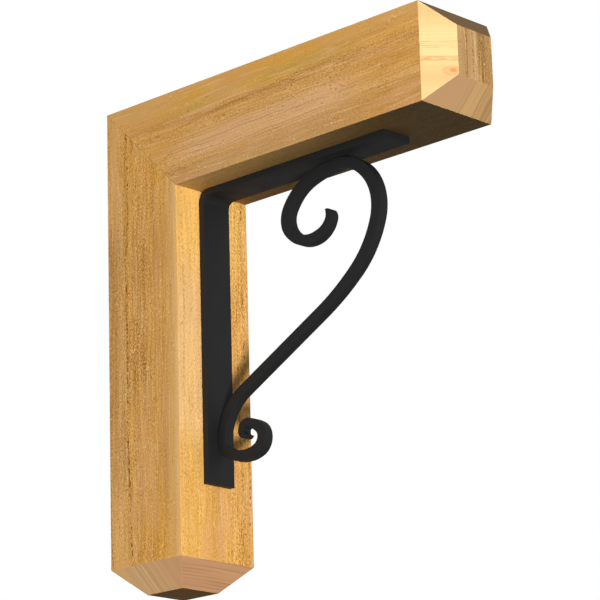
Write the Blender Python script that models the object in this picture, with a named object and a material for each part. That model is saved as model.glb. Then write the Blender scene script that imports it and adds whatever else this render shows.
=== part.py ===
"""Timber corbel bracket with a forged iron strap and scroll.

Frame: the origin is on the wall face of the leg, half way up. +Z is up, the arm reaches out
along -Y, and X is the width. All sizes are in metres.
"""
import math

import bmesh
import bpy
from mathutils import Vector

# Timber: one square stock size for the leg and the arm
TIMBER = 0.1397
HEIGHT = 0.702
REACH = 0.635
END_CHAMFER = 0.0353
ARRIS = 0.0005

# Pieces that touch keep this clearance
GAP = 0.0003

# Strap: flat bar bent once into the corner
STRAP_WIDE = 0.0508
STRAP_THICK = 0.0095
STRAP_DOWN = 0.4225
STRAP_OUT = 0.3535
STRAP_INNER_BEND = 0.0105
STRAP_ARRIS = 0.0007
BEND_STEPS = 14

# Scroll: one bar worked along tangent arcs, from the tip of the large curl at the arm
# to the tip of the small curl at the leg
BAR_WIDE = 0.0149
BAR_DEEP = 0.0151
BAR_ARRIS = 0.0009
TIP_HEADING = -67.0
# Each stretch is (radius in hundredths of the gauge, turn in degrees); minus turns towards
# the wall over the top
CURL_GAUGE = 0.100
LARGE_CURL = ((22, -51), (31, -34), (47, -82), (31, -67), (76, -40), (155, -20), (71, -75), (72, -32))
SWEEP_OUT = ((140, -31), (350, -13))
STEM_STRAIGHT = 0.1675
SMALL_CURL = ((80, 58), (18, 61), (67, 37), (47, 22), (18.6, 59), (17.4, 58), (51.3, 25),
              (10, 201))
# The stem is drawn out a little more than the curls: (distance from the nearer tip in
# gauges, depth over the stem's depth)
LARGE_CURL_DEPTHS = ((0.98, 1.0), (1.16, 1.15), (1.42, 1.13), (1.70, 1.05), (2.80, 1.05),
                     (3.05, 1.17), (3.60, 1.17), (4.50, 1.07), (5.10, 1.0))
SMALL_CURL_DEPTHS = ((1.15, 1.0), (0.85, 1.10))
# Both ends are drawn thinner, and the last stretch of each is rounded over to a point
LARGE_TIP_DEEP = 0.0116
LARGE_DRAW = 0.046
SMALL_NECK_DEEP = 0.0106
SMALL_TIP_DEEP = 0.0070
SMALL_DRAW = 0.058
NOSE = 0.016
NOSE_STEPS = 9
POINT_DEEP = 0.0009
TURN_STEP = 6.0
RUN_STEP = 0.012

TOP = HEIGHT / 2
FOOT = -HEIGHT / 2
HALF = TIMBER / 2
LEG_FRONT = -TIMBER
ARM_UNDER = TOP - TIMBER


def clear_scene():
    for item in list(bpy.data.objects):
        bpy.data.objects.remove(item, do_unlink=True)


def finish(name, colour, roughness, metallic):
    """A plain material for one sub-part."""
    mat = bpy.data.materials.new(name)
    mat.use_nodes = True
    shader = next(n for n in mat.node_tree.nodes if n.type == "BSDF_PRINCIPLED")
    shader.inputs["Base Color"].default_value = (*colour, 1.0)
    shader.inputs["Roughness"].default_value = roughness
    shader.inputs["Metallic"].default_value = metallic
    mat.diffuse_color = (*colour, 1.0)
    return mat


def add_object(name, bm, mat, smooth_below=None):
    """Turn a bmesh into a named object, smooth across edges flatter than smooth_below."""
    bmesh.ops.recalc_face_normals(bm, faces=bm.faces[:])
    mesh = bpy.data.meshes.new(name)
    bm.to_mesh(mesh)
    bm.free()
    mesh.materials.append(mat)
    if smooth_below is not None:
        mesh.shade_smooth()
        mesh.set_sharp_from_angle(angle=math.radians(smooth_below))
    obj = bpy.data.objects.new(name, mesh)
    bpy.context.scene.collection.objects.link(obj)
    return obj


def block(x_span, y_span, z_span):
    """A box between pairs of limits."""
    bm = bmesh.new()
    bmesh.ops.create_cube(bm, size=1.0)
    for v in bm.verts:
        v.co = Vector([lo + (c + 0.5) * (hi - lo)
                       for c, (lo, hi) in zip(v.co, (x_span, y_span, z_span))])
    return bm


def saw(bm, point, normal):
    """Cut the timber square through one plane and drop what lies on the normal's side."""
    parts = bm.verts[:] + bm.edges[:] + bm.faces[:]
    cut = bmesh.ops.bisect_plane(bm, geom=parts, dist=1e-7, plane_co=point,
                                 plane_no=normal, clear_outer=True)
    rim = [g for g in cut["geom_cut"] if isinstance(g, bmesh.types.BMEdge)]
    bmesh.ops.edgeloop_fill(bm, edges=rim)


def saw_end_chamfers(bm, end, along, centre):
    """Cut a chamfer at 45 degrees on all four edges of a square end.

    end is the middle of the end face, along points out of it, and centre lists the two
    directions across it.
    """
    for side in centre:
        for sign in (-1, 1):
            across = side * sign
            corner = end + across * (HALF - END_CHAMFER)
            saw(bm, corner, (along + across).normalized())


def ease_arrises(bm, mitre_point, mitre_normal):
    """Round the long edges slightly, leaving the edges of the mitre sharp."""
    def on_mitre(v):
        return abs((v.co - mitre_point).dot(mitre_normal)) < 1e-5
    edges = [e for e in bm.edges if not all(on_mitre(v) for v in e.verts)]
    bmesh.ops.bevel(bm, geom=edges, offset=ARRIS, offset_type="OFFSET", segments=2,
                    profile=0.5, affect="EDGES", clamp_overlap=True)


def timber_pieces():
    """The leg and the arm, mitred at 45 degrees from the top back edge to the inner corner."""
    corner = Vector((0.0, 0.0, TOP))
    towards_arm = Vector((0.0, -1.0, 1.0)).normalized()
    x, y, z = Vector((1, 0, 0)), Vector((0, 1, 0)), Vector((0, 0, 1))

    leg = block((-HALF, HALF), (LEG_FRONT, 0.0), (FOOT, TOP))
    leg_mitre = corner - towards_arm * (GAP / 2)
    saw(leg, leg_mitre, towards_arm)
    saw_end_chamfers(leg, Vector((0.0, -HALF, FOOT)), -z, (x, y))
    ease_arrises(leg, leg_mitre, towards_arm)

    arm = block((-HALF, HALF), (-REACH, 0.0), (ARM_UNDER, TOP))
    arm_mitre = corner + towards_arm * (GAP / 2)
    saw(arm, arm_mitre, -towards_arm)
    saw_end_chamfers(arm, Vector((0.0, -REACH, TOP - HALF)), -y, (x, z))
    ease_arrises(arm, arm_mitre, towards_arm)
    return leg, arm


class Route:
    """A path in the side plane made of tangent arcs and straights.

    forward counts from the wall out, and up is the height. A heading of zero points
    forward, and ninety degrees points up.
    """

    def __init__(self, heading):
        self.heading = math.radians(heading)
        self.spot = (0.0, 0.0)
        self.pieces = []
        self.length = 0.0

    def _walk(self, spot, heading, bend, run):
        f, u = spot
        if abs(bend) < 1e-9:
            return (f + run * math.cos(heading), u + run * math.sin(heading)), heading
        last = heading + bend * run
        return ((f + (math.sin(last) - math.sin(heading)) / bend,
                 u - (math.cos(last) - math.cos(heading)) / bend), last)

    def add(self, run, bend):
        self.pieces.append((self.length, run, bend, self.spot, self.heading))
        self.spot, self.heading = self._walk(self.spot, self.heading, bend, run)
        self.length += run

    def arc(self, radius, turn):
        turn = math.radians(turn)
        self.add(radius * abs(turn), math.copysign(1.0 / radius, turn))

    def straight(self, run):
        self.add(run, 0.0)

    def at(self, s):
        for start, run, bend, spot, heading in reversed(self.pieces):
            if s >= start - 1e-12:
                return self._walk(spot, heading, bend, min(s - start, run))

    def stations(self, first, last, turn_step, run_step):
        """Distances along the route, close enough together for its bends."""
        marks = [first]
        for start, run, bend, _, _ in self.pieces:
            lo, hi = max(start, first), min(start + run, last)
            if hi - lo < 1e-6:
                continue
            count = max(1, math.ceil((hi - lo) * abs(bend) / math.radians(turn_step) - 1e-6))
            if bend:
                count = max(count, math.ceil((hi - lo) / run_step))
            marks += [lo + (hi - lo) * (i + 1) / count for i in range(count)]
        return marks


def bar_solid(rows, wide, arris):
    """A closed bar from rows of (left spot, right spot), each with its arrises eased."""
    bm = bmesh.new()
    rings = []
    for left, right in rows:
        a, b = Vector((0.0, -left[0], left[1])), Vector((0.0, -right[0], right[1]))
        deep = (b - a).length
        ease = min(arris, deep * 0.3)
        down = (b - a).normalized() * ease
        side, inset = Vector((wide / 2, 0, 0)), Vector((wide / 2 - ease, 0, 0))
        spots = (a - inset, a + inset, a + side + down, b + side - down,
                 b + inset, b - inset, b - side - down, a - side + down)
        rings.append([bm.verts.new(p) for p in spots])
    for one, two in zip(rings, rings[1:]):
        for i in range(8):
            j = (i + 1) % 8
            bm.faces.new((one[i], one[j], two[j], two[i]))
    bm.faces.new(rings[0])
    bm.faces.new(list(reversed(rings[-1])))
    return bm


def strap():
    """Flat bar along the underside of the arm, bent into the corner and down the leg."""
    lie = GAP + STRAP_THICK / 2
    mid_bend = STRAP_INNER_BEND + STRAP_THICK / 2
    route = Route(180.0)
    route.straight(STRAP_OUT - lie - mid_bend)
    route.arc(mid_bend, 90.0)
    route.straight(STRAP_DOWN - lie - mid_bend)
    start = (TIMBER + STRAP_OUT, ARM_UNDER - lie)
    rows = []
    for s in route.stations(0.0, route.length, 90.0 / BEND_STEPS, 1.0):
        (f, u), heading = route.at(s)
        nf, nu = -math.sin(heading) * STRAP_THICK / 2, math.cos(heading) * STRAP_THICK / 2
        spot = (f + start[0], u + start[1])
        rows.append(((spot[0] + nf, spot[1] + nu), (spot[0] - nf, spot[1] - nu)))
    return bar_solid(rows, STRAP_WIDE, STRAP_ARRIS)


def blend(s, knots):
    """Straight-line value at s between (s, value) knots."""
    for (s0, v0), (s1, v1) in zip(knots, knots[1:]):
        if s <= s1:
            return v0 + (v1 - v0) * max(0.0, s - s0) / (s1 - s0)
    return knots[-1][1]


def scroll():
    """The scroll bar, set to touch the strap under the arm and on the leg."""
    route = Route(TIP_HEADING)
    for radius, turn in LARGE_CURL + SWEEP_OUT:
        route.arc(CURL_GAUGE * radius / 100, turn)
    route.straight(STEM_STRAIGHT)
    for radius, turn in SMALL_CURL:
        route.arc(CURL_GAUGE * radius / 100, turn)
    end = route.length
    depths = [(0.0, LARGE_TIP_DEEP), (NOSE, LARGE_TIP_DEEP), (LARGE_DRAW, BAR_DEEP)]
    depths += [(CURL_GAUGE * far, BAR_DEEP * share) for far, share in LARGE_CURL_DEPTHS]
    depths += [(end - CURL_GAUGE * far, BAR_DEEP * share) for far, share in SMALL_CURL_DEPTHS]
    depths += [(end - SMALL_DRAW, BAR_DEEP), (end - NOSE, SMALL_NECK_DEEP), (end, SMALL_TIP_DEEP)]

    # (distance, left share, right share): the outer side closes on the inner one at each tip
    stations = []
    first = math.asin(POINT_DEEP / LARGE_TIP_DEEP)
    for i in range(NOSE_STEPS):
        lean = first + (math.pi / 2 - first) * i / NOSE_STEPS
        stations.append((NOSE * (1 - math.cos(lean)), math.sin(lean) - 0.5, 0.5))
    stations += [(s, 0.5, 0.5) for s in route.stations(NOSE, end - NOSE, TURN_STEP, RUN_STEP)]
    last = math.asin(POINT_DEEP / SMALL_TIP_DEEP)
    for i in range(NOSE_STEPS):
        lean = last + (math.pi / 2 - last) * (NOSE_STEPS - 1 - i) / NOSE_STEPS
        stations.append((end - NOSE * (1 - math.cos(lean)), 0.5, math.sin(lean) - 0.5))

    rows = []
    for s, left, right in stations:
        (f, u), heading = route.at(s)
        deep = blend(s, depths)
        nf, nu = -math.sin(heading) * deep, math.cos(heading) * deep
        rows.append(((f + nf * left, u + nu * left), (f - nf * right, u - nu * right)))

    # Move the finished outline until it rests on both runs of the strap
    half_way = len(rows) // 2
    rest = GAP + STRAP_THICK + GAP
    lift = (ARM_UNDER - rest) - max(p[1] for row in rows for p in row)
    push = (TIMBER + rest) - min(p[0] for row in rows[half_way:] for p in row)
    rows = [tuple((f + push, u + lift) for f, u in row) for row in rows]
    return bar_solid(rows, BAR_WIDE, BAR_ARRIS)


def build():
    clear_scene()
    pine = finish("golden_timber", (0.58, 0.33, 0.12), 0.6, 0.0)
    pine_arm = finish("golden_timber_arm", (0.58, 0.33, 0.12), 0.6, 0.0)
    black = finish("black_iron_strap", (0.026, 0.026, 0.027), 0.48, 0.6)
    black_bar = finish("black_iron_scroll", (0.026, 0.026, 0.027), 0.48, 0.6)
    leg, arm = timber_pieces()
    add_object("timber_leg", leg, pine, 25)
    add_object("timber_arm", arm, pine_arm, 25)
    add_object("iron_strap", strap(), black, 25)
    add_object("iron_scroll", scroll(), black_bar, 25)


build()
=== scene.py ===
# %% [markdown]
# # A timber corbel with an iron strap and scroll
#
# This corbel carries a shelf or a beam off a wall. Two lengths of square timber meet at a
# mitre, a flat iron strap ties the inner corner, and an iron bar with a curl at each end
# braces it. The solid model is already made and is loaded here as a fixed frame. This lesson
# gives it wood grain and black paint, and redraws the two iron pieces with rounder edges.

import math

import bpy
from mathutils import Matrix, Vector


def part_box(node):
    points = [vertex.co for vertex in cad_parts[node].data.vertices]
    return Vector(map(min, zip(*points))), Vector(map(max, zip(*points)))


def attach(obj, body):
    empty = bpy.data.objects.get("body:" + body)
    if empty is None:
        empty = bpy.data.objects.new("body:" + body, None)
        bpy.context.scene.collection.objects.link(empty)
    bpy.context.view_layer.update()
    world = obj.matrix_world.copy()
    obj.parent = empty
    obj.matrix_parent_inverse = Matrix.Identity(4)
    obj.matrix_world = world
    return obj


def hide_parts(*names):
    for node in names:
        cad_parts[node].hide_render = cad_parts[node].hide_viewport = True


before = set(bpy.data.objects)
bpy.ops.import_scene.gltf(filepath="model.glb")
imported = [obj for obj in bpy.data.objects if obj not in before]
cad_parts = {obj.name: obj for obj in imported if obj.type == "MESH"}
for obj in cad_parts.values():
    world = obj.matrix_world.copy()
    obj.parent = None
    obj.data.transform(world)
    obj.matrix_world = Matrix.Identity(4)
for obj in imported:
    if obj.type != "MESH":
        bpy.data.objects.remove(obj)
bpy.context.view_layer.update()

# %% [markdown]
# ## The camera
#
# The bracket hangs above eye level, so the camera looks up at it from the front left. A long
# lens keeps the parallel edges of the timber nearly parallel. The place and the angles were
# found by matching the corners of the timber, and a fraction of a degree already shows, so
# they are kept to a thousandth of a degree.

# %% Camera
SENSOR = 36.0
LENS = 177.28
SIGHT = 200.0
CAMERA_PLACE = (-2.8068, -2.9564, -1.0992)
CAMERA_ANGLES = (106.169, 1.540, -46.205)

lens = bpy.data.cameras.new("long_lens")
lens.lens, lens.sensor_width, lens.clip_end = LENS, SENSOR, SIGHT
camera = bpy.data.objects.new("camera", lens)
camera.location = CAMERA_PLACE
camera.rotation_euler = [math.radians(a) for a in CAMERA_ANGLES]
bpy.context.scene.collection.objects.link(camera)
bpy.context.scene.camera = camera
bpy.context.scene.view_settings.view_transform = "Standard"
print("camera stands", round(Vector(CAMERA_PLACE).length, 2), "m from the wall mount")

# %% [markdown]
# ## Helpers for node trees
#
# The background, the geometry and the materials below are all built from nodes. The first
# helper fills a node's sockets by name or by number with plain values or links, and the others
# place the nodes that are wanted most, so that each line reads like a step of a recipe.


# %% Node helpers
QUARTER_TURN = math.pi / 2
FLOAT, VECTOR, COLOUR = "NodeSocketFloat", "NodeSocketVector", "NodeSocketColor"


def fill(tree, node, sockets):
    """Give sockets, by name or number, a value or a link from a node or an output."""
    for key, value in sockets.items():
        target = node.inputs[key]
        if isinstance(value, bpy.types.Node):
            value = value.outputs[0]
        if isinstance(value, bpy.types.NodeSocket):
            tree.links.new(value, target)
        else:
            target.default_value = value
    return node


def put(tree, kind, sockets=None, **options):
    """Add a node, set its options and fill its sockets."""
    made = tree.nodes.new(kind)
    for name, value in options.items():
        setattr(made, name, value)
    return fill(tree, made, sockets or {})


def maths(tree, operation, *values, clamp=False):
    """A Math node, for links and plain numbers alike."""
    return put(tree, "ShaderNodeMath", dict(enumerate(values)), operation=operation,
               use_clamp=clamp).outputs[0]


def times(tree, *values):
    """The product of two values."""
    return maths(tree, "MULTIPLY", *values)


def vectors(tree, operation, *values):
    """A Vector Math node."""
    return put(tree, "ShaderNodeVectorMath", dict(enumerate(values)),
               operation=operation).outputs[0]


def scaled(tree, vector, factor):
    """A vector made longer by a factor."""
    return put(tree, "ShaderNodeVectorMath", {0: vector, "Scale": factor},
               operation="SCALE").outputs[0]


def split(tree, vector):
    """The X, Y and Z of a vector."""
    return put(tree, "ShaderNodeSeparateXYZ", {0: vector}).outputs


def ramp(tree, value, low, high, to_low=0.0, to_high=1.0, shape="SMOOTHSTEP"):
    """A smooth step of value between low and high, or a straight one."""
    return put(tree, "ShaderNodeMapRange",
               {"Value": value, "From Min": low, "From Max": high, "To Min": to_low,
                "To Max": to_high}, interpolation_type=shape).outputs["Result"]


def blend_colour(tree, factor, first, second):
    """Mix two colours by factor."""
    return put(tree, "ShaderNodeMix", {0: factor, 6: first, 7: second},
               data_type="RGBA").outputs[2]


def new_material(name, roughness):
    """A material with its tree and its shader."""
    made = bpy.data.materials.new(name)
    made.use_nodes = True
    shader = made.node_tree.nodes["Principled BSDF"]
    shader.inputs["Roughness"].default_value = roughness
    return made, made.node_tree, shader


def new_group(name, inputs, outputs, kind="ShaderNodeTree"):
    """An empty node group with named sockets; returns it with its input and output node."""
    group = bpy.data.node_groups.new(name, kind)
    for label, socket, value in inputs:
        made = group.interface.new_socket(label, in_out="INPUT", socket_type=socket)
        if value is not None:
            made.default_value = value
    for label, socket in outputs:
        group.interface.new_socket(label, in_out="OUTPUT", socket_type=socket)
    return group, group.nodes.new("NodeGroupInput").outputs, group.nodes.new("NodeGroupOutput")


print("helpers ready")

# %% [markdown]
# ## Light
#
# The shadow of the scroll on the leg tells where the lamp stands: to the left, in front and
# well below. It lights the chamfers that face down and leaves the upper one dark. Weaker lamps
# fill the front and light the right side, the back and the top, which this camera doesn't see.
#
# The iron looks evenly black on every face, with no bright lines on its edges. So the lamps
# are kept out of reflections, as a polarised lamp is.

# %% Lamps
AIM = Vector((0.0, -0.25, 0.0))


def lamp(name, towards, distance, size, watts):
    """A square area lamp that faces AIM from a direction and isn't mirrored in the work."""
    data = bpy.data.lights.new(name, "AREA")
    data.size, data.energy = size, watts
    towards = Vector(towards).normalized()
    obj = bpy.data.objects.new(name, data)
    obj.location = AIM + towards * distance
    obj.rotation_euler = (-towards).to_track_quat("-Z", "Y").to_euler()
    obj.visible_glossy = False
    bpy.context.scene.collection.objects.link(obj)


lamp("key", (-0.83, -1.0, -0.66), 9.0, 1.6, 1360)
lamp("fill_front", (0.4, -1.0, 0.25), 8.0, 3.0, 92)
lamp("fill_side", (1.0, 0.15, 0.1), 6.0, 2.5, 230)
lamp("fill_back", (0.8, 1.0, 0.5), 6.0, 2.5, 180)
lamp("fill_top", (0.2, 0.7, 1.0), 6.0, 2.5, 130)

# %% [markdown]
# ## Floor and dark films
#
# A plain pale floor lies far below. The undersides of the timber are darker than these lamps
# would leave them, as if a dark film was held under them, so two thin sheets of film do that
# here. They thin the lamps' direct light only, and the one under the arm is clearer on the left
# and towards the inner corner.

# %% Floor
FLOOR_HEIGHT, FLOOR_REACH = -6.5, 40.0
FLOOR_COLOUR, FLOOR_GLOW = (0.75, 0.75, 0.74, 1.0), 0.62
WHITE = (1.0, 1.0, 1.0, 1.0)


def flat_sheet(name, x_span, y_span, z):
    """A level rectangle that belongs to the studio."""
    mesh = bpy.data.meshes.new(name)
    mesh.from_pydata([(x_span[i], y_span[j], z) for i, j in ((0, 0), (1, 0), (1, 1), (0, 1))],
                     [], [(0, 1, 2, 3)])
    sheet = bpy.data.objects.new(name, mesh)
    bpy.context.scene.collection.objects.link(sheet)
    return sheet


floor = flat_sheet("floor", (-FLOOR_REACH, FLOOR_REACH), (-FLOOR_REACH, FLOOR_REACH),
                   FLOOR_HEIGHT)
floor.visible_diffuse = floor.visible_glossy = False
pale, pale_tree, pale_shader = new_material("pale_floor", 0.9)
fill(pale_tree, pale_shader, {"Base Color": FLOOR_COLOUR, "Emission Color": WHITE,
                              "Emission Strength": FLOOR_GLOW})
floor.data.materials.append(pale)
print("floor at", FLOOR_HEIGHT, "m")

# %% Dark films under the arm and the foot
(_, arm_y0, arm_z0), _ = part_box("timber_arm")
(leg_x0, leg_y0, leg_z0), (leg_x1, _, _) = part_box("timber_leg")
END_CHAMFER = 0.0353
FILM_GAP = 0.00015


def film(name, left_share, right_share, fade_to=None):
    """A film that lets a share of the light through, more on the left than on the right.
    fade_to is the Y where it lets nothing through any more."""
    made = bpy.data.materials.new(name)
    made.use_nodes = True
    tree = made.node_tree
    tree.nodes.clear()
    x, y, _ = split(tree, put(tree, "ShaderNodeTexCoord").outputs["Object"])
    passed = ramp(tree, x, leg_x0, leg_x1 / 2, left_share, right_share, "LINEAR")
    if fade_to is not None:
        passed = times(tree, passed, ramp(tree, y, fade_to, leg_y0, shape="LINEAR"))
    put(tree, "ShaderNodeOutputMaterial",
        {0: put(tree, "ShaderNodeBsdfTransparent", {"Color": passed})})
    return made


for sheet, cut in (
        (flat_sheet("film_under_arm", (leg_x0, leg_x1), (arm_y0 + END_CHAMFER, leg_y0),
                    arm_z0 - FILM_GAP), film("arm_film", 0.47, 0.02, fade_to=-0.55)),
        (flat_sheet("film_under_foot", (leg_x0 + END_CHAMFER, leg_x1 - END_CHAMFER),
                    (leg_y0 + END_CHAMFER, -END_CHAMFER), leg_z0 - FILM_GAP),
         film("foot_film", 0.06, 0.06))):
    sheet.data.materials.append(cut)
    sheet.visible_camera = sheet.visible_diffuse = sheet.visible_glossy = False
    print(sheet.name, "hangs", FILM_GAP, "m under the timber")

# %% [markdown]
# ## Background
#
# The background is plain white to the camera. To rough surfaces it is a dim grey, because a
# white room would fill in every shadow. What the iron mirrors is a room that is light above
# and dim below.

# %% Background
ROOM_LIGHT = 0.08
ROOM_MIRRORED_BELOW, ROOM_MIRRORED_ABOVE = 0.05, 0.62
ROOM_DIM_UP_TO, ROOM_LIGHT_FROM = -0.8, 0.2

world = bpy.data.worlds.new("studio")
bpy.context.scene.world = world
world.use_nodes = True
sky = world.node_tree
seen = put(sky, "ShaderNodeLightPath").outputs
height = split(sky, put(sky, "ShaderNodeTexCoord").outputs["Generated"])["Z"]
mirrored = ramp(sky, height, ROOM_DIM_UP_TO, ROOM_LIGHT_FROM, ROOM_MIRRORED_BELOW,
                ROOM_MIRRORED_ABOVE)
in_gloss = ramp(sky, seen["Is Glossy Ray"], 0.0, 1.0, ROOM_LIGHT, mirrored)
fill(sky, sky.nodes["Background"],
     {"Color": WHITE, "Strength": ramp(sky, seen["Is Camera Ray"], 0.0, 1.0, in_gloss)})
print("background: white to the camera,", ROOM_LIGHT, "to rough surfaces")

# %% [markdown]
# ## The paths of the two iron bars
#
# A smith bends a bar through one curve after another, so the path is written the same way:
# each stretch is an arc with a radius and a turn, and the next one goes on from where it ends,
# with no kink. Freehand curves would do too, but then no size could be read or changed. The
# stretches are those of the solid model, cut into finer steps.

# %% Sizes of the iron
TIMBER = 0.1397
ARM_TOP = 0.351
ARM_UNDER = ARM_TOP - TIMBER
GAP = 0.0003

STRAP_WIDE, STRAP_THICK, STRAP_ARRIS = 0.0508, 0.0095, 0.0007
STRAP_DOWN, STRAP_OUT, STRAP_INNER_BEND = 0.4225, 0.3535, 0.0105
STRAP_TURN_STEP, STRAP_RUN_STEP = 5.0, 0.02

BAR_WIDE, BAR_DEEP, BAR_ARRIS = 0.0149, 0.0151, 0.0009
TIP_HEADING = -67.0
CURL_GAUGE = 0.100
# (radius in hundredths of the gauge, turn in degrees) of each stretch
LARGE_CURL = ((22, -51), (31, -34), (47, -82), (31, -67), (76, -40), (155, -20), (71, -75),
              (72, -32))
SWEEP_OUT = ((140, -31), (350, -13))
STEM_STRAIGHT = 0.1675
SMALL_CURL = ((80, 58), (18, 61), (67, 37), (47, 22), (18.6, 59), (17.4, 58), (51.3, 25),
              (10, 201))
# (distance from the nearer tip in gauges, depth over the stem's depth)
LARGE_CURL_DEPTHS = ((0.98, 1.0), (1.16, 1.15), (1.42, 1.13), (1.70, 1.05), (2.80, 1.05),
                     (3.05, 1.17), (3.60, 1.17), (4.50, 1.07), (5.10, 1.0))
SMALL_CURL_DEPTHS = ((1.15, 1.0), (0.85, 1.10))
LARGE_TIP_DEEP, LARGE_DRAW = 0.0116, 0.046
SMALL_NECK_DEEP, SMALL_TIP_DEEP, SMALL_DRAW = 0.0106, 0.0070, 0.058
NOSE, NOSE_STEPS, POINT_DEEP = 0.016, 16, 0.0009
TURN_STEP, RUN_STEP = 2.5, 0.006
print("strap", STRAP_WIDE, "by", STRAP_THICK, "m, scroll bar", BAR_WIDE, "by", BAR_DEEP, "m")


# %% Walk along arcs and straights
def walk(heading, stretches, turn_step, run_step):
    """Stations (distance, forward, up, heading) along stretches of (length, bend)."""
    f = u = s = 0.0
    heading = math.radians(heading)
    stations = [(s, f, u, heading)]
    for length, bend in stretches:
        count = max(1, math.ceil(length * abs(bend) / math.radians(turn_step)),
                    math.ceil(length / run_step))
        for _ in range(count):
            step = length / count
            middle = heading + bend * step / 2
            half_turn = bend * step / 2
            chord = step * (math.sin(half_turn) / half_turn if half_turn else 1.0)
            f, u = f + chord * math.cos(middle), u + chord * math.sin(middle)
            heading, s = heading + bend * step, s + step
            stations.append((s, f, u, heading))
    return stations


def arcs(pairs):
    """(length, bend) of stretches given as (radius, turn)."""
    return [(CURL_GAUGE * radius / 100 * math.radians(abs(turn)),
             math.copysign(100 / (CURL_GAUGE * radius), turn)) for radius, turn in pairs]


def at(stations, s):
    """The station at distance s, between its two neighbours."""
    for one, two in zip(stations, stations[1:]):
        if s <= two[0] + 1e-12:
            t = (s - one[0]) / (two[0] - one[0])
            return tuple(a + (b - a) * t for a, b in zip(one, two))
    return stations[-1]


def between(s, knots):
    """Straight-line value at s between (s, value) knots."""
    for (s0, v0), (s1, v1) in zip(knots, knots[1:]):
        if s <= s1:
            return v0 + (v1 - v0) * max(0.0, s - s0) / (s1 - s0)
    return knots[-1][1]


# %% The strap's path
lie = GAP + STRAP_THICK / 2
mid_bend = STRAP_INNER_BEND + STRAP_THICK / 2
strap_stations = walk(180.0, ((STRAP_OUT - lie - mid_bend, 0.0),
                              (mid_bend * QUARTER_TURN, 1 / mid_bend),
                              (STRAP_DOWN - lie - mid_bend, 0.0)),
                      STRAP_TURN_STEP, STRAP_RUN_STEP)
strap_path = [((f + TIMBER + STRAP_OUT, u + ARM_UNDER - lie),
               (-math.sin(h), math.cos(h)), STRAP_THICK) for _, f, u, h in strap_stations]
print("strap:", round(strap_stations[-1][0], 3), "m of flat bar")

# %% [markdown]
# The scroll's two ends are drawn thinner under the hammer, and the last 16 mm of each are
# rounded over to a point. The outer side comes in there while the inner side runs on, so the
# middle of the bar and its depth are both worked out from the two sides. Then the whole
# outline moves until it rests on both runs of the strap.

# %% The scroll's path
scroll_stations = walk(TIP_HEADING, arcs(LARGE_CURL + SWEEP_OUT) + [(STEM_STRAIGHT, 0.0)]
                       + arcs(SMALL_CURL), TURN_STEP, RUN_STEP)
end = scroll_stations[-1][0]
depths = [(0.0, LARGE_TIP_DEEP), (NOSE, LARGE_TIP_DEEP), (LARGE_DRAW, BAR_DEEP)]
depths += [(CURL_GAUGE * far, BAR_DEEP * share) for far, share in LARGE_CURL_DEPTHS]
depths += [(end - CURL_GAUGE * far, BAR_DEEP * share) for far, share in SMALL_CURL_DEPTHS]
depths += [(end - SMALL_DRAW, BAR_DEEP), (end - NOSE, SMALL_NECK_DEEP), (end, SMALL_TIP_DEEP)]


def nose(tip_deep):
    """(distance from the tip, share of the depth kept) where the end is rounded over."""
    first = math.asin(POINT_DEEP / tip_deep)
    leans = [first + (QUARTER_TURN - first) * i / NOSE_STEPS for i in range(NOSE_STEPS)]
    return [(NOSE * (1 - math.cos(lean)), math.sin(lean)) for lean in leans]


marks = [(s, kept, 1.0) for s, kept in nose(LARGE_TIP_DEEP)]
marks += [(station[0], 1.0, 1.0) for station in scroll_stations if NOSE < station[0] < end - NOSE]
marks += [(end - s, 1.0, kept) for s, kept in reversed(nose(SMALL_TIP_DEEP))]

rows = []
for s, left_kept, right_kept in marks:
    _, f, u, h = at(scroll_stations, s)
    deep = between(s, depths)
    across = (-math.sin(h), math.cos(h))
    left, right = (left_kept - 0.5) * deep, (right_kept - 0.5) * deep
    rows.append(((f, u), across, left, right))

sides = [(f + a * d, u + b * d) for (f, u), (a, b), left, right in rows for d in (left, -right)]
rest = GAP + STRAP_THICK + GAP
lift = (ARM_UNDER - rest) - max(u for _, u in sides)
push = (TIMBER + rest) - min(f for f, _ in sides[len(sides) // 2:])
scroll_path = [((f + push + a * (left - right) / 2, u + lift + b * (left - right) / 2),
                (a, b), left + right) for (f, u), (a, b), left, right in rows]
print("scroll:", round(end, 3), "m of bar in", len(scroll_path), "steps")

# %% [markdown]
# ## One Geometry Nodes tree for both bars
#
# Each bar is a rounded oblong carried along its path. Curve to Mesh makes the skin, and Set
# Position then gives every point its exact place: the path's own points carry their centre,
# the direction across the bar and its depth as attributes, so the corners stay as round where
# the bar is drawn thin. Inputs set the width, the rounding and the finish. The same tree makes
# the strap and the scroll.


# %% Tree for a worked bar
CORNER_STEPS = 7
LARGEST_ARRIS = 0.3


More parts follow.
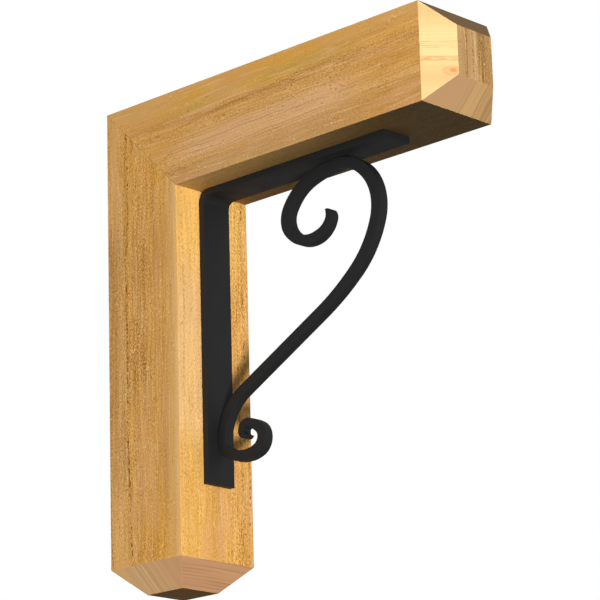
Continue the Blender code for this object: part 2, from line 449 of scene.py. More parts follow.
def bar_tree():
    """A bar with rounded corners along a path; no corner takes more than LARGEST_ARRIS of
    the depth."""
    tree, given, result = new_group(
        "worked_bar",
        (("Path", "NodeSocketGeometry", None), ("Width", FLOAT, 0.015), ("Arris", FLOAT, 0.001),
         ("Corner Steps", "NodeSocketInt", CORNER_STEPS), ("Finish", "NodeSocketMaterial", None)),
        (("Bar", "NodeSocketGeometry"),),
        kind="GeometryNodeTree")

    def calc(operation, *values):
        return maths(tree, operation, *values)

    def stored(name, kind="FLOAT"):
        return put(tree, "GeometryNodeInputNamedAttribute", {"Name": name},
                   data_type=kind).outputs["Attribute"]

    steps = given["Corner Steps"]
    ring = put(tree, "GeometryNodeCurvePrimitiveCircle",
               {"Resolution": calc("MULTIPLY", steps, 4.0), "Radius": 1.0})
    numbered = tree.nodes.new("GeometryNodeCaptureAttribute")
    numbered.capture_items.new("INT", "Order")
    tree.links.new(ring.outputs["Curve"], numbered.inputs["Geometry"])
    tree.links.new(tree.nodes.new("GeometryNodeInputIndex").outputs[0], numbered.inputs["Order"])
    skin = put(tree, "GeometryNodeCurveToMesh",
               {"Curve": put(tree, "GeometryNodeMeshToCurve", {"Mesh": given["Path"]}),
                "Profile Curve": numbered.outputs["Geometry"], "Fill Caps": True})

    order = numbered.outputs["Order"]
    corner = calc("FLOOR", calc("DIVIDE", calc("ADD", order, 0.5), steps))
    along_corner = calc("SUBTRACT", order, calc("MULTIPLY", corner, steps))
    share = calc("DIVIDE", along_corner, calc("SUBTRACT", steps, 1.0))
    angle = calc("MULTIPLY", calc("ADD", corner, share), QUARTER_TURN)
    middle = calc("MULTIPLY", calc("ADD", corner, 0.5), QUARTER_TURN)
    deep = stored("deep")
    radius = calc("MINIMUM", given["Arris"], calc("MULTIPLY", deep, LARGEST_ARRIS))

    def reach(size, wave):
        flat = calc("SUBTRACT", calc("MULTIPLY", size, 0.5), radius)
        return calc("ADD", calc("MULTIPLY", calc("SIGN", calc(wave, middle)), flat),
                    calc("MULTIPLY", calc(wave, angle), radius))

    sideways = put(tree, "ShaderNodeCombineXYZ", {"X": reach(given["Width"], "COSINE")})
    upwards = scaled(tree, stored("across", "FLOAT_VECTOR"), reach(deep, "SINE"))
    offset = vectors(tree, "ADD", sideways, upwards)
    placed = put(tree, "GeometryNodeSetPosition",
                 {"Geometry": skin,
                  "Position": vectors(tree, "ADD", stored("centre", "FLOAT_VECTOR"), offset)})
    # the mask is 1 at the middle of a rounded corner and 0 at its ends
    from_middle = calc("ABSOLUTE", calc("SUBTRACT", calc("MULTIPLY", share, 2.0), 1.0))
    marked = put(tree, "GeometryNodeStoreNamedAttribute",
                 {"Geometry": placed, "Name": "arris",
                  "Value": calc("SUBTRACT", 1.0, from_middle)},
                 data_type="FLOAT", domain="POINT")
    smooth = put(tree, "GeometryNodeSetShadeSmooth", {"Geometry": marked})
    fill(tree, result, {"Bar": put(tree, "GeometryNodeSetMaterial",
                                   {"Geometry": smooth, "Material": given["Finish"]})})
    return tree


BAR_TREE = bar_tree()
INPUT_KEYS = {s.name: s.identifier for s in BAR_TREE.interface.items_tree if s.in_out == "INPUT"}
print("tree inputs:", list(INPUT_KEYS))


# %% Turn a path into a bar
def path_object(name, path):
    """A line of points in the middle plane that carries centre, across and deep."""
    mesh = bpy.data.meshes.new(name)
    spots = [(0.0, -f, u) for (f, u), _, _ in path]
    mesh.from_pydata(spots, [(i, i + 1) for i in range(len(spots) - 1)], [])
    for label, kind, field, values in (
            ("deep", "FLOAT", "value", [deep for *_, deep in path]),
            ("centre", "FLOAT_VECTOR", "vector", [c for spot in spots for c in spot]),
            ("across", "FLOAT_VECTOR", "vector",
             [c for _, (a, b), _ in path for c in (0.0, -a, b)])):
        mesh.attributes.new(label, kind, "POINT").data.foreach_set(field, values)
    obj = bpy.data.objects.new(name, mesh)
    bpy.context.scene.collection.objects.link(obj)
    return obj


def make_bar(name, path, width, arris, finish):
    """Run the tree on a path and keep the result as a plain mesh."""
    guide = path_object(name + "_guide", path)
    modifier = guide.modifiers.new("worked_bar", "NODES")
    modifier.node_group = BAR_TREE
    for label, value in (("Width", width), ("Arris", arris), ("Corner Steps", CORNER_STEPS),
                         ("Finish", finish)):
        modifier[INPUT_KEYS[label]] = value
    seen_by = bpy.context.evaluated_depsgraph_get()
    mesh = bpy.data.meshes.new_from_object(guide.evaluated_get(seen_by))
    bpy.data.objects.remove(guide)
    mesh.name = name
    bar = bpy.data.objects.new(name, mesh)
    bpy.context.scene.collection.objects.link(bar)
    print(name, "has", len(mesh.polygons), "faces")
    return bar


# %% [markdown]
# ## Shared surface effects
#
# Wood and paint both need variation that repeats nowhere. Each effect below is one node
# group with named inputs, placed in every material that uses it with its own values. The
# groups only put out masks, strengths and bent places. The shader stays in each material.


# %% Group: grain figure
def grain_figure():
    """Soft bands, fine fibre and specks; the grain runs along the vector's Z."""
    group, given, result = new_group(
        "grain_figure",
        (("Vector", VECTOR, None), ("Band Width", FLOAT, 0.014), ("Stretch", FLOAT, 22.0),
         ("Wander", FLOAT, 0.006), ("Seed", FLOAT, 0.0)),
        (("Bands", FLOAT), ("Fibre", FLOAT), ("Specks", FLOAT), ("Vector", VECTOR)))

    def stretched(vector, across, along):
        factors = put(group, "ShaderNodeCombineXYZ", {"X": across, "Y": across, "Z": along})
        return vectors(group, "MULTIPLY", vector, factors)

    def noise(vector, detail, roughness=0.5, output=0):
        return put(group, "ShaderNodeTexNoise",
                   {"Vector": vector, "W": given["Seed"], "Scale": 1.0, "Detail": detail,
                    "Roughness": roughness}, noise_dimensions="4D").outputs[output]

    sway = vectors(group, "SUBTRACT", noise(stretched(given["Vector"], 9.0, 4.0), 1.0, output=1),
                   (0.5, 0.5, 0.5))
    bent = vectors(group, "ADD", given["Vector"],
                   scaled(group, sway, times(group, given["Wander"], 4.0)))
    per_band = maths(group, "DIVIDE", 1.0, given["Band Width"])
    per_length = maths(group, "DIVIDE", per_band, given["Stretch"])
    fill(group, result, {"Bands": noise(stretched(bent, per_band, per_length), 2.0, 0.55),
                         "Fibre": noise(stretched(bent, 340.0, 13.0), 2.0, 0.6),
                         "Specks": noise(stretched(given["Vector"], 600.0, 330.0), 1.0),
                         "Vector": bent})
    return group


GRAIN = grain_figure()


# %% Group: flecks
def flecks():
    """Short dashes along the grain; Density is the share of cells that holds one."""
    group, given, result = new_group(
        "flecks",
        (("Vector", VECTOR, None), ("Spacing", FLOAT, 0.004), ("Length", FLOAT, 1.8),
         ("Density", FLOAT, 0.2), ("Size", FLOAT, 1.0)),
        (("Flecks", FLOAT),))
    per_cell = maths(group, "DIVIDE", 1.0, given["Spacing"])
    scale = put(group, "ShaderNodeCombineXYZ",
                {"X": per_cell, "Y": per_cell,
                 "Z": maths(group, "DIVIDE", per_cell, given["Length"])})
    cells = put(group, "ShaderNodeTexVoronoi",
                {"Vector": vectors(group, "MULTIPLY", given["Vector"], scale), "Scale": 1.0})
    draw = put(group, "ShaderNodeSeparateColor", {"Color": cells.outputs["Color"]})
    here = maths(group, "LESS_THAN", draw.outputs[0], given["Density"])
    size = times(group, ramp(group, draw.outputs[1], 0.0, 1.0, 0.26, 0.50), given["Size"])
    dot = maths(group, "SUBTRACT", 1.0, maths(group, "DIVIDE", cells.outputs["Distance"], size),
                clamp=True)
    sharp = ramp(group, dot, 0.0, 0.45)
    strength = ramp(group, draw.outputs[2], 0.0, 1.0, 0.35, 1.0)
    fill(group, result, {"Flecks": times(group, times(group, sharp, here), strength)})
    return group


FLECKS = flecks()


# %% Group: facing
def turned_to(tree, direction):
    """The cosine between the surface's normal and a direction."""
    return put(tree, "ShaderNodeVectorMath",
               {0: put(tree, "ShaderNodeTexCoord").outputs["Normal"], 1: direction},
               operation="DOT_PRODUCT").outputs["Value"]


def facing():
    """How far the surface turns towards a direction, or either way if Both Ways is 1."""
    group, given, result = new_group(
        "facing",
        (("Towards", VECTOR, (0.0, 0.0, 1.0)), ("From", FLOAT, 0.3), ("To", FLOAT, 0.4),
         ("Both Ways", FLOAT, 0.0)),
        (("Mask", FLOAT),))
    cosine = turned_to(group, given["Towards"])
    either = maths(group, "ABSOLUTE", cosine)
    cosine = put(group, "ShaderNodeMix", {0: given["Both Ways"], 2: cosine, 3: either}).outputs[0]
    fill(group, result, {"Mask": ramp(group, cosine, given["From"], given["To"])})
    return group


FACING = facing()


# %% Group: saw-cut lines
def cut_lines():
    """Growth layers where a saw has cut across them: lines of uneven strength along Y."""
    group, given, result = new_group(
        "cut_lines",
        (("Vector", VECTOR, None), ("Layer", FLOAT, 0.006), ("Bow", FLOAT, 1.5),
         ("Drift", FLOAT, 1.0)),
        (("Lines", FLOAT), ("Tone", FLOAT)))
    x, y, _ = split(group, given["Vector"])
    bow = times(group, times(group, y, y), given["Bow"])
    depth = maths(group, "DIVIDE", maths(group, "ADD", x, bow), given["Layer"])
    drift = put(group, "ShaderNodeTexNoise", {"Vector": given["Vector"], "Scale": 14.0,
                                              "Detail": 1.0})
    depth = maths(group, "ADD", depth, times(group, drift.outputs[0], given["Drift"]))
    wide = put(group, "ShaderNodeCombineXYZ", {"X": depth, "Y": times(group, y, 6.0)})
    tone = put(group, "ShaderNodeTexNoise", {"Vector": wide, "Scale": 0.45, "Detail": 1.0})
    strength = put(group, "ShaderNodeTexNoise", {"Vector": wide, "Scale": 1.3, "Detail": 0.0})
    late = ramp(group, maths(group, "FRACT", depth), 0.45, 0.92)
    fill(group, result,
         {"Lines": times(group, late, ramp(group, strength.outputs[0], 0.38, 0.62)),
          "Tone": tone})
    return group


CUT_LINES = cut_lines()


# %% Group: near a layer
def near_layer():
    """A mask that is 1 near Middle and falls to 0 at Width from it."""
    group, given, result = new_group(
        "near_layer",
        (("Position", FLOAT, 0.0), ("Middle", FLOAT, 0.0), ("Width", FLOAT, 0.01)),
        (("Mask", FLOAT),))
    off = maths(group, "ABSOLUTE", maths(group, "SUBTRACT", given["Position"], given["Middle"]))
    half = times(group, given["Width"], 0.5)
    fill(group, result, {"Mask": ramp(group, off, given["Width"], half)})
    return group


NEAR = near_layer()


# %% Place a group
def use(tree, group, **sockets):
    """Place a shared group and fill its inputs; underscores stand for spaces."""
    filled = {key.replace("_", " "): value for key, value in sockets.items()}
    return put(tree, "ShaderNodeGroup", filled, node_tree=group).outputs


def within(tree, position, middle, width):
    """The mask of the near_layer group."""
    return use(tree, NEAR, Position=position, Middle=middle, Width=width)["Mask"]


def faces(tree, towards, **limits):
    """The mask of the facing group."""
    return use(tree, FACING, Towards=towards, **limits)["Mask"]


print("groups:", [g.name for g in (GRAIN, FLECKS, FACING, CUT_LINES, NEAR)])

# %% [markdown]
# ## The timber
#
# The real bracket is golden softwood with a satin clear coat. Its long faces run through
# layers of gold, tan and rosy wood, with rows of dark pores, pale streaks and a fine speckle,
# all along the grain. The leg's grain stands upright and the arm's lies along its reach, which
# is what makes the mitre show. The ends are saw cuts across the grain, paler or rosier, with
# close lines. An image of wood would stretch on some faces. Here a ramp of layer colours runs
# through the timber, and noise in the piece's own space breaks it up, as real grain does.

# %% Colours of the timber
HONEY = (0.56, 0.285, 0.073, 1.0)
GOLD = (0.585, 0.300, 0.058, 1.0)
TAN = (0.575, 0.318, 0.102, 1.0)
ROSE = (0.575, 0.312, 0.150, 1.0)
UMBER = (0.500, 0.255, 0.070, 1.0)
AMBER = (0.525, 0.266, 0.067, 1.0)
DARK_AMBER = (0.440, 0.225, 0.066, 1.0)
DUSK = (0.495, 0.275, 0.102, 1.0)
STRAW = (0.645, 0.365, 0.092, 1.0)
WHEAT = (0.605, 0.325, 0.078, 1.0)
BRIGHT = (0.760, 0.425, 0.105, 1.0)
PALE = (0.665, 0.400, 0.160, 1.0)
OLIVE = (0.500, 0.300, 0.070, 1.0)
PORE = (0.150, 0.056, 0.009, 1.0)
PALE_FLECK = (0.82, 0.55, 0.25, 1.0)
SPECKLE_TINT = (1.0, 0.69, 0.33)
FIGURE_BAND = 0.011
ACROSS, OUTWARDS = (1.0, 0.0, 0.0), (0.0, -1.0, 0.0)
DOWNWARDS, UPWARDS = (0.0, 0.0, -1.0), (0.0, 0.0, 1.0)
# limits of the facing group that leave the chamfers out
SQUARE_ON = {"From": 0.8, "To": 0.9}


def layers(tree, position, low, high, values):
    """A soft run of colours or plain values through the timber, evenly spaced."""
    made = put(tree, "ShaderNodeValToRGB", {"Fac": ramp(tree, position, low, high, shape="LINEAR")})
    made.color_ramp.interpolation = "EASE"
    stops = made.color_ramp.elements
    for i, value in enumerate(values):
        stop = stops[i] if i < 2 else stops.new(1.0)
        stop.position = i / (len(values) - 1)
        stop.color = value if isinstance(value, tuple) else (value, value, value, 1.0)
    return made.outputs["Color"]


# %% [markdown]
# Three groups make the wood: a long face with its bands, streaks, specks and pores, a saw cut
# across the grain, and painted shade on the long rounded edges.


# %% Group: long grain
def long_grain():
    """Colour and height of a long face. Layer Colour and Speckle say what the wood is like
    there, Rows is where a row of large pores runs, and Drift how much the colour wanders."""
    group, given, result = new_group(
        "long_grain",
        (("Vector", VECTOR, None), ("Seed", FLOAT, 0.0), ("Layer Colour", COLOUR, HONEY),
         ("Speckle", FLOAT, 0.5), ("Rows", FLOAT, 0.0), ("Drift", FLOAT, 1.0)),
        (("Colour", COLOUR), ("Height", FLOAT)))
    vector, seed, drift = given["Vector"], given["Seed"], given["Drift"]
    figure = use(group, GRAIN, Vector=vector, Seed=seed, Band_Width=FIGURE_BAND)
    patches = use(group, GRAIN, Vector=vector, Seed=maths(group, "ADD", seed, 3.0),
                  Band_Width=0.028, Stretch=5.0)
    streaks = use(group, GRAIN, Vector=vector, Seed=maths(group, "ADD", seed, 6.0),
                  Band_Width=0.0045, Stretch=30.0)

    def share(value, low, high, most):
        return times(group, ramp(group, value, low, high, 0.0, most), drift)

    colour = blend_colour(group, share(figure["Bands"], 0.50, 0.66, 0.70), given["Layer Colour"],
                          GOLD)
    colour = blend_colour(group, share(patches["Bands"], 0.48, 0.34, 0.60), colour, ROSE)
    colour = blend_colour(group, ramp(group, streaks["Bands"], 0.57, 0.62, 0.0, 0.60), colour,
                          PALE)
    # specks, fibre and streaks lighten and darken
    relief = 0.0
    for value, size in ((figure["Specks"], 0.85), (figure["Fibre"], 0.42),
                        (streaks["Bands"], -0.30), (figure["Bands"], 0.22)):
        from_mean = maths(group, "SUBTRACT", value, 0.5)
        relief = maths(group, "ADD", relief, times(group, from_mean, size))
    rough = times(group, given["Speckle"], ramp(group, patches["Bands"], 0.40, 0.62, 0.75, 1.25))
    colour = put(group, "ShaderNodeVectorMath",
                 {0: times(group, relief, rough), 1: SPECKLE_TINT, 2: colour},
                 operation="MULTIPLY_ADD").outputs[0]
    # small scattered pores, a row of larger ones, and pale flecks between them
    density = times(group, rough, ramp(group, patches["Bands"], 0.44, 0.62, 0.05, 0.34))
    pores = use(group, FLECKS, Vector=figure["Vector"], Spacing=0.0030, Density=density)["Flecks"]
    large = use(group, FLECKS, Vector=figure["Vector"], Spacing=0.0029, Length=1.7, Size=1.50,
                Density=ramp(group, patches["Bands"], 0.34, 0.50, 0.45, 1.0))["Flecks"]
    pores = maths(group, "MAXIMUM", times(group, pores, 0.55), times(group, large, given["Rows"]))
    moved = vectors(group, "ADD", figure["Vector"], (0.3, 0.2, 0.1))
    light = use(group, FLECKS, Vector=moved, Spacing=0.0034,
                Density=times(group, rough, 0.14))["Flecks"]
    colour = blend_colour(group, times(group, light, 0.5), colour, PALE_FLECK)
    raised = times(group, figure["Fibre"], 0.4)
    fill(group, result, {"Colour": blend_colour(group, pores, colour, PORE),
                         "Height": maths(group, "SUBTRACT", raised, pores)})
    return group


LONG_GRAIN = long_grain()


# %% Group: saw cut
def saw_cut():
    """Colour of a saw cut across the grain; Tones and Lines say how strong the dark is."""
    group, given, result = new_group(
        "saw_cut",
        (("Vector", VECTOR, None), ("Layer", FLOAT, 0.006), ("Bow", FLOAT, 0.5),
         ("Drift", FLOAT, 1.0), ("Light", COLOUR, HONEY), ("Dark", COLOUR, UMBER),
         ("Tones", FLOAT, 0.5), ("Lines", FLOAT, 0.5)),
        (("Colour", COLOUR),))
    cut = use(group, CUT_LINES, Vector=given["Vector"], Layer=given["Layer"], Bow=given["Bow"],
              Drift=given["Drift"])
    tones = times(group, ramp(group, cut["Tone"], 0.36, 0.64), given["Tones"])
    base = blend_colour(group, tones, given["Light"], given["Dark"])
    lines = times(group, cut["Lines"], given["Lines"])
    fill(group, result, {"Colour": blend_colour(group, lines, base, given["Dark"])})
    return group


SAW_CUT = saw_cut()


# %% Group: painted edge shade
def painted_edge_shade():
    """Painted shade: darken a colour where the surface turns between two sides, on the rounded
    edges.
    """
    group, given, result = new_group(
        "painted_edge_shade",
        (("Colour", COLOUR, HONEY), ("One Side", VECTOR, (1.0, 0.0, 0.0)),
         ("Other Side", VECTOR, (0.0, 1.0, 0.0)), ("Shade", FLOAT, 0.2)),
        (("Colour", COLOUR),))
    slant = maths(group, "ABSOLUTE", times(group, turned_to(group, given["One Side"]),
                                           turned_to(group, given["Other Side"])))
    shade = times(group, ramp(group, slant, 0.1, 0.3), given["Shade"])
    fill(group, result,
         {"Colour": blend_colour(group, shade, given["Colour"], (0.0, 0.0, 0.0, 1.0))})
    return group


PAINTED_EDGE_SHADE_GROUP = painted_edge_shade()
print("wood groups:", [g.name for g in (LONG_GRAIN, SAW_CUT, PAINTED_EDGE_SHADE_GROUP)])


# %% Wood material
PORE_ROW_WIDE = 0.0021
WOOD_SHINE, EDGE_SHADE = 0.12, 0.12


def pore_rows(tree, vector, seed, rows_at):
    """A mask of the layers that hold a row of pores."""
    bent = use(tree, GRAIN, Vector=vector, Seed=seed, Band_Width=FIGURE_BAND)["Vector"]
    places = split(tree, bent)
    row = 0.0
    for axis, place, strength in rows_at:
        near = within(tree, places[axis], place, PORE_ROW_WIDE)
        row = maths(tree, "MAXIMUM", row, times(tree, near, strength))
    return row


def dress(name, build, other_side):
    """A wood material; build(tree, position) gives its colour and height."""
    made, tree, shader = new_material(name, 0.55)
    colour, height = build(tree, put(tree, "ShaderNodeTexCoord").outputs["Object"])
    # painted shade on the long rounded edges
    edge_shaded = use(tree, PAINTED_EDGE_SHADE_GROUP, Colour=colour, Other_Side=other_side, Shade=EDGE_SHADE)
    bump = put(tree, "ShaderNodeBump", {"Height": height, "Strength": 0.5, "Distance": 0.0003})
    fill(tree, shader, {"Base Color": edge_shaded["Colour"], "Normal": bump,
                        "Specular IOR Level": WOOD_SHINE})
    return made


# %% The leg's material
LEG_SIDE = (UMBER, TAN, TAN, AMBER, HONEY, AMBER, HONEY, AMBER, GOLD, HONEY, TAN, PALE)
LEG_SIDE_MIDDLE = (DARK_AMBER, DARK_AMBER, DUSK, AMBER, UMBER, UMBER, UMBER, AMBER, UMBER, UMBER,
                   TAN, PALE)
LEG_SIDE_SPECKLE = (0.9, 0.6, 0.8, 1.0, 1.0, 1.0, 1.0, 0.9, 0.7, 0.6, 0.4, 0.3)
LEG_FRONT_TOP = (BRIGHT, BRIGHT, BRIGHT, BRIGHT, STRAW, STRAW, STRAW, STRAW, TAN)
LEG_FRONT = (PALE, PALE, PALE, PALE, HONEY, HONEY, HONEY, HONEY, TAN)
LEG_FRONT_LOW = (WHEAT, WHEAT, WHEAT, HONEY, AMBER, AMBER, AMBER, AMBER, AMBER)
LEG_FRONT_SPECKLE = (0.5, 0.7, 0.8, 0.6, 0.7, 0.8, 0.9, 1.0, 0.9)
# rows of pores: (axis, place, strength)
LEG_ROWS = (("Y", -0.040, 1.3), ("Y", -0.053, 0.55), ("Y", -0.004, 0.4), ("Y", -0.092, 0.35),
            ("X", 0.061, 0.9), ("X", 0.048, 0.6), ("X", -0.058, 0.35), ("X", 0.010, 0.4))
FOOT_PALE = (0.45, 0.284, 0.130, 1.0)
FOOT_CUT = (0.39, 0.208, 0.100, 1.0)
FOOT_DARK = (0.24, 0.120, 0.060, 1.0)
FOOT_GOLD = (0.44, 0.262, 0.098, 1.0)
FOOT_UNDER = (0.480, 0.218, 0.020, 1.0)
# heights between which the front changes, and the middle and reach of the side's dark stretch
FRONT_BRIGHTENS, FRONT_DARKENS = (0.04, 0.16), (-0.12, -0.18)
SIDE_DARK_AT, SIDE_DARK_REACH = -0.02, 0.26
SIDE_LINES_AT = 0.064


def leg_finish(tree, spot):
    """Layers from side to side on the front and from front to back on the sides."""
    x, y, z = split(tree, spot)
    across, back = (x, -TIMBER / 2, TIMBER / 2), (y, 0.0, -TIMBER)
    front = blend_colour(tree, ramp(tree, z, *FRONT_BRIGHTENS), layers(tree, *across, LEG_FRONT),
                         layers(tree, *across, LEG_FRONT_TOP))
    front = blend_colour(tree, ramp(tree, z, *FRONT_DARKENS), front,
                         layers(tree, *across, LEG_FRONT_LOW))
    side = blend_colour(tree, within(tree, z, SIDE_DARK_AT, SIDE_DARK_REACH),
                        layers(tree, *back, LEG_SIDE), layers(tree, *back, LEG_SIDE_MIDDLE))
    sideways = faces(tree, ACROSS, Both_Ways=1.0)
    speckle = blend_colour(tree, sideways, layers(tree, *across, LEG_FRONT_SPECKLE),
                           layers(tree, *back, LEG_SIDE_SPECKLE))
    wood = use(tree, LONG_GRAIN, Vector=spot, Seed=1.0, Speckle=speckle, Drift=0.6,
               Layer_Colour=blend_colour(tree, sideways, front, side),
               Rows=pore_rows(tree, spot, 1.0, LEG_ROWS))
    below = faces(tree, DOWNWARDS)
    colour = blend_colour(tree, below, wood["Colour"], foot_cuts(tree, spot, sideways))
    return colour, wood["Height"]


def foot_cuts(tree, spot, sideways):
    """The front cut has level lines, the side cuts two groups of slanting ones."""
    y = split(tree, spot)["Y"]
    turned = put(tree, "ShaderNodeMapping", {"Vector": spot, "Rotation": (0, 0, QUARTER_TURN)})
    front = use(tree, SAW_CUT, Vector=turned, Layer=0.0038, Bow=0.3, Drift=0.25, Light=FOOT_CUT,
                Dark=FOOT_DARK, Tones=0.30, Lines=0.70)["Colour"]
    off = maths(tree, "ABSOLUTE", maths(tree, "ADD", y, SIDE_LINES_AT))
    side = use(tree, SAW_CUT, Vector=turned, Layer=0.0042, Bow=0.3, Drift=0.6, Light=FOOT_PALE,
               Dark=FOOT_DARK, Tones=0.30,
               Lines=ramp(tree, off, 0.030, 0.018, 0.20, 0.80))["Colour"]
    side = blend_colour(tree, ramp(tree, y, -0.06, -0.11, 0.0, 0.75), side, FOOT_CUT)
    side = blend_colour(tree, ramp(tree, y, -0.034, -0.022, 0.0, 0.8), side, FOOT_GOLD)
    level = faces(tree, DOWNWARDS, **SQUARE_ON)
    return blend_colour(tree, level, blend_colour(tree, sideways, front, side), FOOT_UNDER)


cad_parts["timber_leg"].data.materials[0] = dress("leg_wood", leg_finish, OUTWARDS)
print("leg dressed")

# %% [markdown]
# The arm's front end has five faces. The flat end shows upright stripes, as if a thin board
# was glued on. The chamfer below it has broad slanting streaks. The side chamfers were planed
# clean: creamy wood with a few fine level lines, two rosy streaks and a small knot.

# %% The arm's material
PATCH_ROSE = (0.600, 0.343, 0.160, 1.0)
BROWN = (0.470, 0.240, 0.068, 1.0)
ARM_SIDE = (DUSK, PATCH_ROSE, PATCH_ROSE, TAN, BROWN, OLIVE, GOLD, TAN)
ARM_SIDE_ENDS = (UMBER, TAN, HONEY, HONEY, UMBER, HONEY, TAN, TAN)
ARM_SIDE_SPECKLE = (0.55, 0.50, 0.40, 0.60, 0.90, 0.45, 0.25, 0.25)
UNDER_PAINTED_TINT = (0.515, 0.326, 0.108, 1.0)
BAND_SLOPE = math.radians(1.2)
BAND_SHIFT = 0.007
LAYER_MARGIN = 0.009
MIDDLE_AT, MIDDLE_REACH = -0.31, 0.22
WAVY_AT, WAVY_REACH = 0.250, 0.045

END_PALE = (0.395, 0.240, 0.100, 1.0)
END_STRIPE = (0.450, 0.275, 0.128, 1.0)
END_BROWN = (0.290, 0.158, 0.050, 1.0)
END_TAN = (0.340, 0.192, 0.068, 1.0)
END_FACE = (END_PALE, END_PALE, END_TAN, END_PALE, END_STRIPE, END_BROWN, END_BROWN, END_TAN,
            END_TAN)
END_ROWS = (("X", -0.018, 0.9), ("X", -0.004, 0.7), ("X", 0.016, 0.6))
CUT = (0.355, 0.206, 0.100, 1.0)
CUT_TAN = (0.390, 0.246, 0.102, 1.0)
CUT_DARK = (0.240, 0.128, 0.052, 1.0)
CUT_UPPER_PAINTED_SHADE = (0.275, 0.150, 0.045, 1.0)

CREAM = (0.680, 0.455, 0.200, 1.0)
BUTTER = (0.690, 0.510, 0.235, 1.0)
BLUSH = (0.655, 0.410, 0.176, 1.0)
LINE_BROWN = (0.45, 0.32, 0.115, 1.0)
ROSY = (0.60, 0.31, 0.120, 1.0)
KNOT = (0.58, 0.255, 0.090, 1.0)
FACED = (CREAM, CREAM, BLUSH, CREAM, BUTTER, BUTTER, BUTTER, CREAM, BLUSH, CREAM)
FINE_LINES_AT, FINE_LINES_TALL = 0.287, 0.010
ROSY_STREAK_AT, ROSY_STREAK_TALL = 0.269, 0.0045
# the knot runs across the whole arm, so it shows on both chamfers
KNOT_AT = (0.0, -0.6300, 0.2520)
KNOT_SIZE = (1.0, 0.0115, 0.0066)


def side_chamfer(tree, spot):
    """The planed chamfers left and right of the arm's end."""
    z = split(tree, spot)["Z"]
    colour = layers(tree, z, ARM_UNDER, ARM_TOP, FACED)
    level = put(tree, "ShaderNodeMapping", {"Vector": spot, "Rotation": (0, QUARTER_TURN, 0)})
    soft = use(tree, CUT_LINES, Vector=level, Layer=0.0050, Bow=0.0, Drift=0.8)
    colour = blend_colour(tree, times(tree, soft["Lines"], 0.30), colour, BLUSH)
    fine = use(tree, CUT_LINES, Vector=level, Layer=0.0028, Bow=0.0, Drift=0.5)["Lines"]
    broken = put(tree, "ShaderNodeTexNoise",
                 {"Vector": vectors(tree, "MULTIPLY", spot, (60.0, 60.0, 500.0)),
                  "Scale": 1.0, "Detail": 1.0}).outputs[0]
    near = times(tree, within(tree, z, FINE_LINES_AT, FINE_LINES_TALL),
                 ramp(tree, broken, 0.42, 0.58, 0.15, 1.0))
    colour = blend_colour(tree, times(tree, fine, near), colour, LINE_BROWN)
    rosy = times(tree, within(tree, z, ROSY_STREAK_AT, ROSY_STREAK_TALL),
                 ramp(tree, broken, 0.35, 0.6, 0.1, 0.9))
    colour = blend_colour(tree, rosy, colour, ROSY)
    # the knot: uneven rings, darker towards the middle and open on one side
    knot = vectors(tree, "DIVIDE", vectors(tree, "SUBTRACT", spot, KNOT_AT), KNOT_SIZE)
    far = put(tree, "ShaderNodeVectorMath", {0: knot}, operation="LENGTH").outputs["Value"]
    far = maths(tree, "ADD", far, times(tree, broken, 0.9))
    wave = maths(tree, "SINE", times(tree, far, 11.0))
    rings = times(tree, ramp(tree, wave, -0.2, 0.9, 0.25, 1.0), ramp(tree, far, 1.55, 1.0))
    return blend_colour(tree, rings, colour, KNOT)


def arm_finish(tree, spot):
    """Layers from the underside to the top that slope a little, other ones at both ends."""
    sloped = put(tree, "ShaderNodeMapping",
                 {"Vector": spot, "Location": (0.0, 0.0, -BAND_SHIFT),
                  "Rotation": (BAND_SLOPE, 0.0, 0.0)})
    z, y = split(tree, sloped)["Z"], split(tree, spot)["Y"]
    span = (z, ARM_UNDER + LAYER_MARGIN, ARM_TOP - LAYER_MARGIN)
    colour = blend_colour(tree, within(tree, y, MIDDLE_AT, MIDDLE_REACH),
                          layers(tree, *span, ARM_SIDE_ENDS), layers(tree, *span, ARM_SIDE))
    # painted light: the underside takes its own tint, standing in for the light that reaches it
    below = faces(tree, DOWNWARDS, **SQUARE_ON)
    colour = blend_colour(tree, below, colour, UNDER_PAINTED_TINT)
    # fine wavy lines in the lower half
    on_edge = put(tree, "ShaderNodeMapping", {"Vector": sloped, "Rotation": (0, QUARTER_TURN, 0)})
    wavy = use(tree, CUT_LINES, Vector=on_edge, Layer=0.0046, Bow=0.0, Drift=2.4)["Lines"]
    low = times(tree, within(tree, z, WAVY_AT, WAVY_REACH), 0.7)
    colour = blend_colour(tree, times(tree, wavy, low), colour, DARK_AMBER)
    laid = put(tree, "ShaderNodeMapping", {"Vector": sloped, "Rotation": (QUARTER_TURN, 0, 0)})
    wood = use(tree, LONG_GRAIN, Vector=laid, Seed=7.0, Layer_Colour=colour, Drift=0.7,
               Speckle=layers(tree, *span, ARM_SIDE_SPECKLE))
    at_end = faces(tree, OUTWARDS)
    sideways = faces(tree, ACROSS, Both_Ways=1.0)
    colour = blend_colour(tree, at_end, wood["Colour"], end_cuts(tree, spot))
    return blend_colour(tree, times(tree, at_end, sideways), colour,
                        side_chamfer(tree, spot)), wood["Height"]


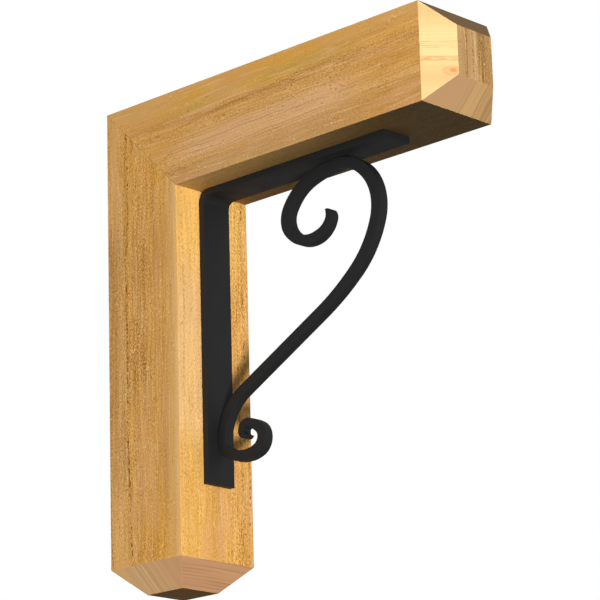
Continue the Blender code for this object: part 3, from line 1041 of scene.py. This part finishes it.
def end_cuts(tree, spot):
    """Upright stripes on the flat end, broad slanting streaks on the chamfer below it, and painted
    shade on the chamfer above it.
    """
    x = split(tree, spot)["X"]
    upright = use(tree, LONG_GRAIN, Vector=spot, Seed=4.0, Speckle=0.5, Drift=0.25,
                  Layer_Colour=layers(tree, x, -0.036, 0.036, END_FACE),
                  Rows=pore_rows(tree, spot, 4.0, END_ROWS))["Colour"]
    rightwards = ramp(tree, x, -0.020, 0.030)
    slanting = use(tree, SAW_CUT, Vector=spot, Layer=0.0085, Bow=0.0, Drift=1.5,
                   Light=blend_colour(tree, rightwards, CUT, CUT_TAN), Dark=CUT_DARK,
                   Tones=times(tree, rightwards, 0.65),
                   Lines=ramp(tree, x, -0.020, 0.020, 0.10, 0.75))["Colour"]
    flat = faces(tree, OUTWARDS, **SQUARE_ON)
    # painted shade: the chamfer that faces up is darker
    upper = faces(tree, UPWARDS)
    slanting = blend_colour(tree, upper, slanting, CUT_UPPER_PAINTED_SHADE)
    return blend_colour(tree, flat, slanting, upright)


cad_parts["timber_arm"].data.materials[0] = dress("arm_wood", arm_finish, UPWARDS)
print("arm dressed")

# %% [markdown]
# ## The black iron
#
# The strap and the scroll have a satin black paint. It is not one flat black: it lies slightly
# uneven, it carries a fine orange-peel texture, and on the arrises it is a shade lighter, partly as
# thinned paint and partly as a painted highlight.

# %% Black paint
BLACK = (0.0108, 0.0109, 0.0113, 1.0)
BLACK_SOFT = (0.0122, 0.0123, 0.0127, 1.0)
RUBBED_AND_HIGHLIT = (0.0138, 0.0138, 0.0140, 1.0)
PAINT_SHINE = 0.28


def paint_coat():
    """A coat of black paint: its colour, roughness and orange-peel height."""
    group, given, result = new_group(
        "paint_coat",
        (("Vector", VECTOR, None), ("Seed", FLOAT, 0.0), ("Arris", FLOAT, 0.0)),
        (("Colour", COLOUR), ("Roughness", FLOAT), ("Height", FLOAT)))
    cloud, peel = [put(group, "ShaderNodeTexNoise",
                       {"Vector": given["Vector"], "W": given["Seed"], "Scale": scale,
                        "Detail": detail}, noise_dimensions="4D").outputs[0]
                   for scale, detail in ((28.0, 3.0), (650.0, 1.0))]
    colour = blend_colour(group, ramp(group, cloud, 0.35, 0.65), BLACK, BLACK_SOFT)
    # on the arrises the black turns lighter: partly thinned paint, partly a painted highlight
    worn_and_highlit = times(group, given["Arris"], ramp(group, cloud, 0.4, 0.7, 0.15, 0.6))
    fill(group, result, {"Colour": blend_colour(group, worn_and_highlit, colour, RUBBED_AND_HIGHLIT), "Height": peel,
                         "Roughness": ramp(group, cloud, 0.3, 0.7, 0.62, 0.72)})
    return group


PAINT = paint_coat()


def painted(name, seed):
    """A black iron material with its own seed, so that no two pieces have the same clouds."""
    made, tree, shader = new_material(name, 0.66)
    spot = put(tree, "ShaderNodeTexCoord").outputs["Object"]
    arris = put(tree, "ShaderNodeAttribute", attribute_name="arris").outputs["Fac"]
    coat = use(tree, PAINT, Vector=spot, Seed=seed, Arris=arris)
    bump = put(tree, "ShaderNodeBump", {"Height": coat["Height"], "Strength": 0.25,
                                        "Distance": 0.0002})
    fill(tree, shader, {"Base Color": coat["Colour"], "Roughness": coat["Roughness"],
                        "Normal": bump, "Specular IOR Level": PAINT_SHINE})
    return made


# %% Make and paint the bars
strap = make_bar("forged_strap", strap_path, STRAP_WIDE, STRAP_ARRIS,
                 painted("strap_black", 0.0))
scroll = make_bar("forged_scroll", scroll_path, BAR_WIDE, BAR_ARRIS,
                  painted("scroll_black", 5.0))

# %% [markdown]
# ## Tie the pieces to the frame
#
# Nothing moves on a corbel, so both bars ride on its only body. Each stands for its plain solid,
# which stays hidden for the collision model.

# %% Frame calls
for bar, node, slot in ((strap, "iron_strap", "strap_iron"),
                        (scroll, "iron_scroll", "scroll_iron")):
    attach(bar, "root")
    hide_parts(node)
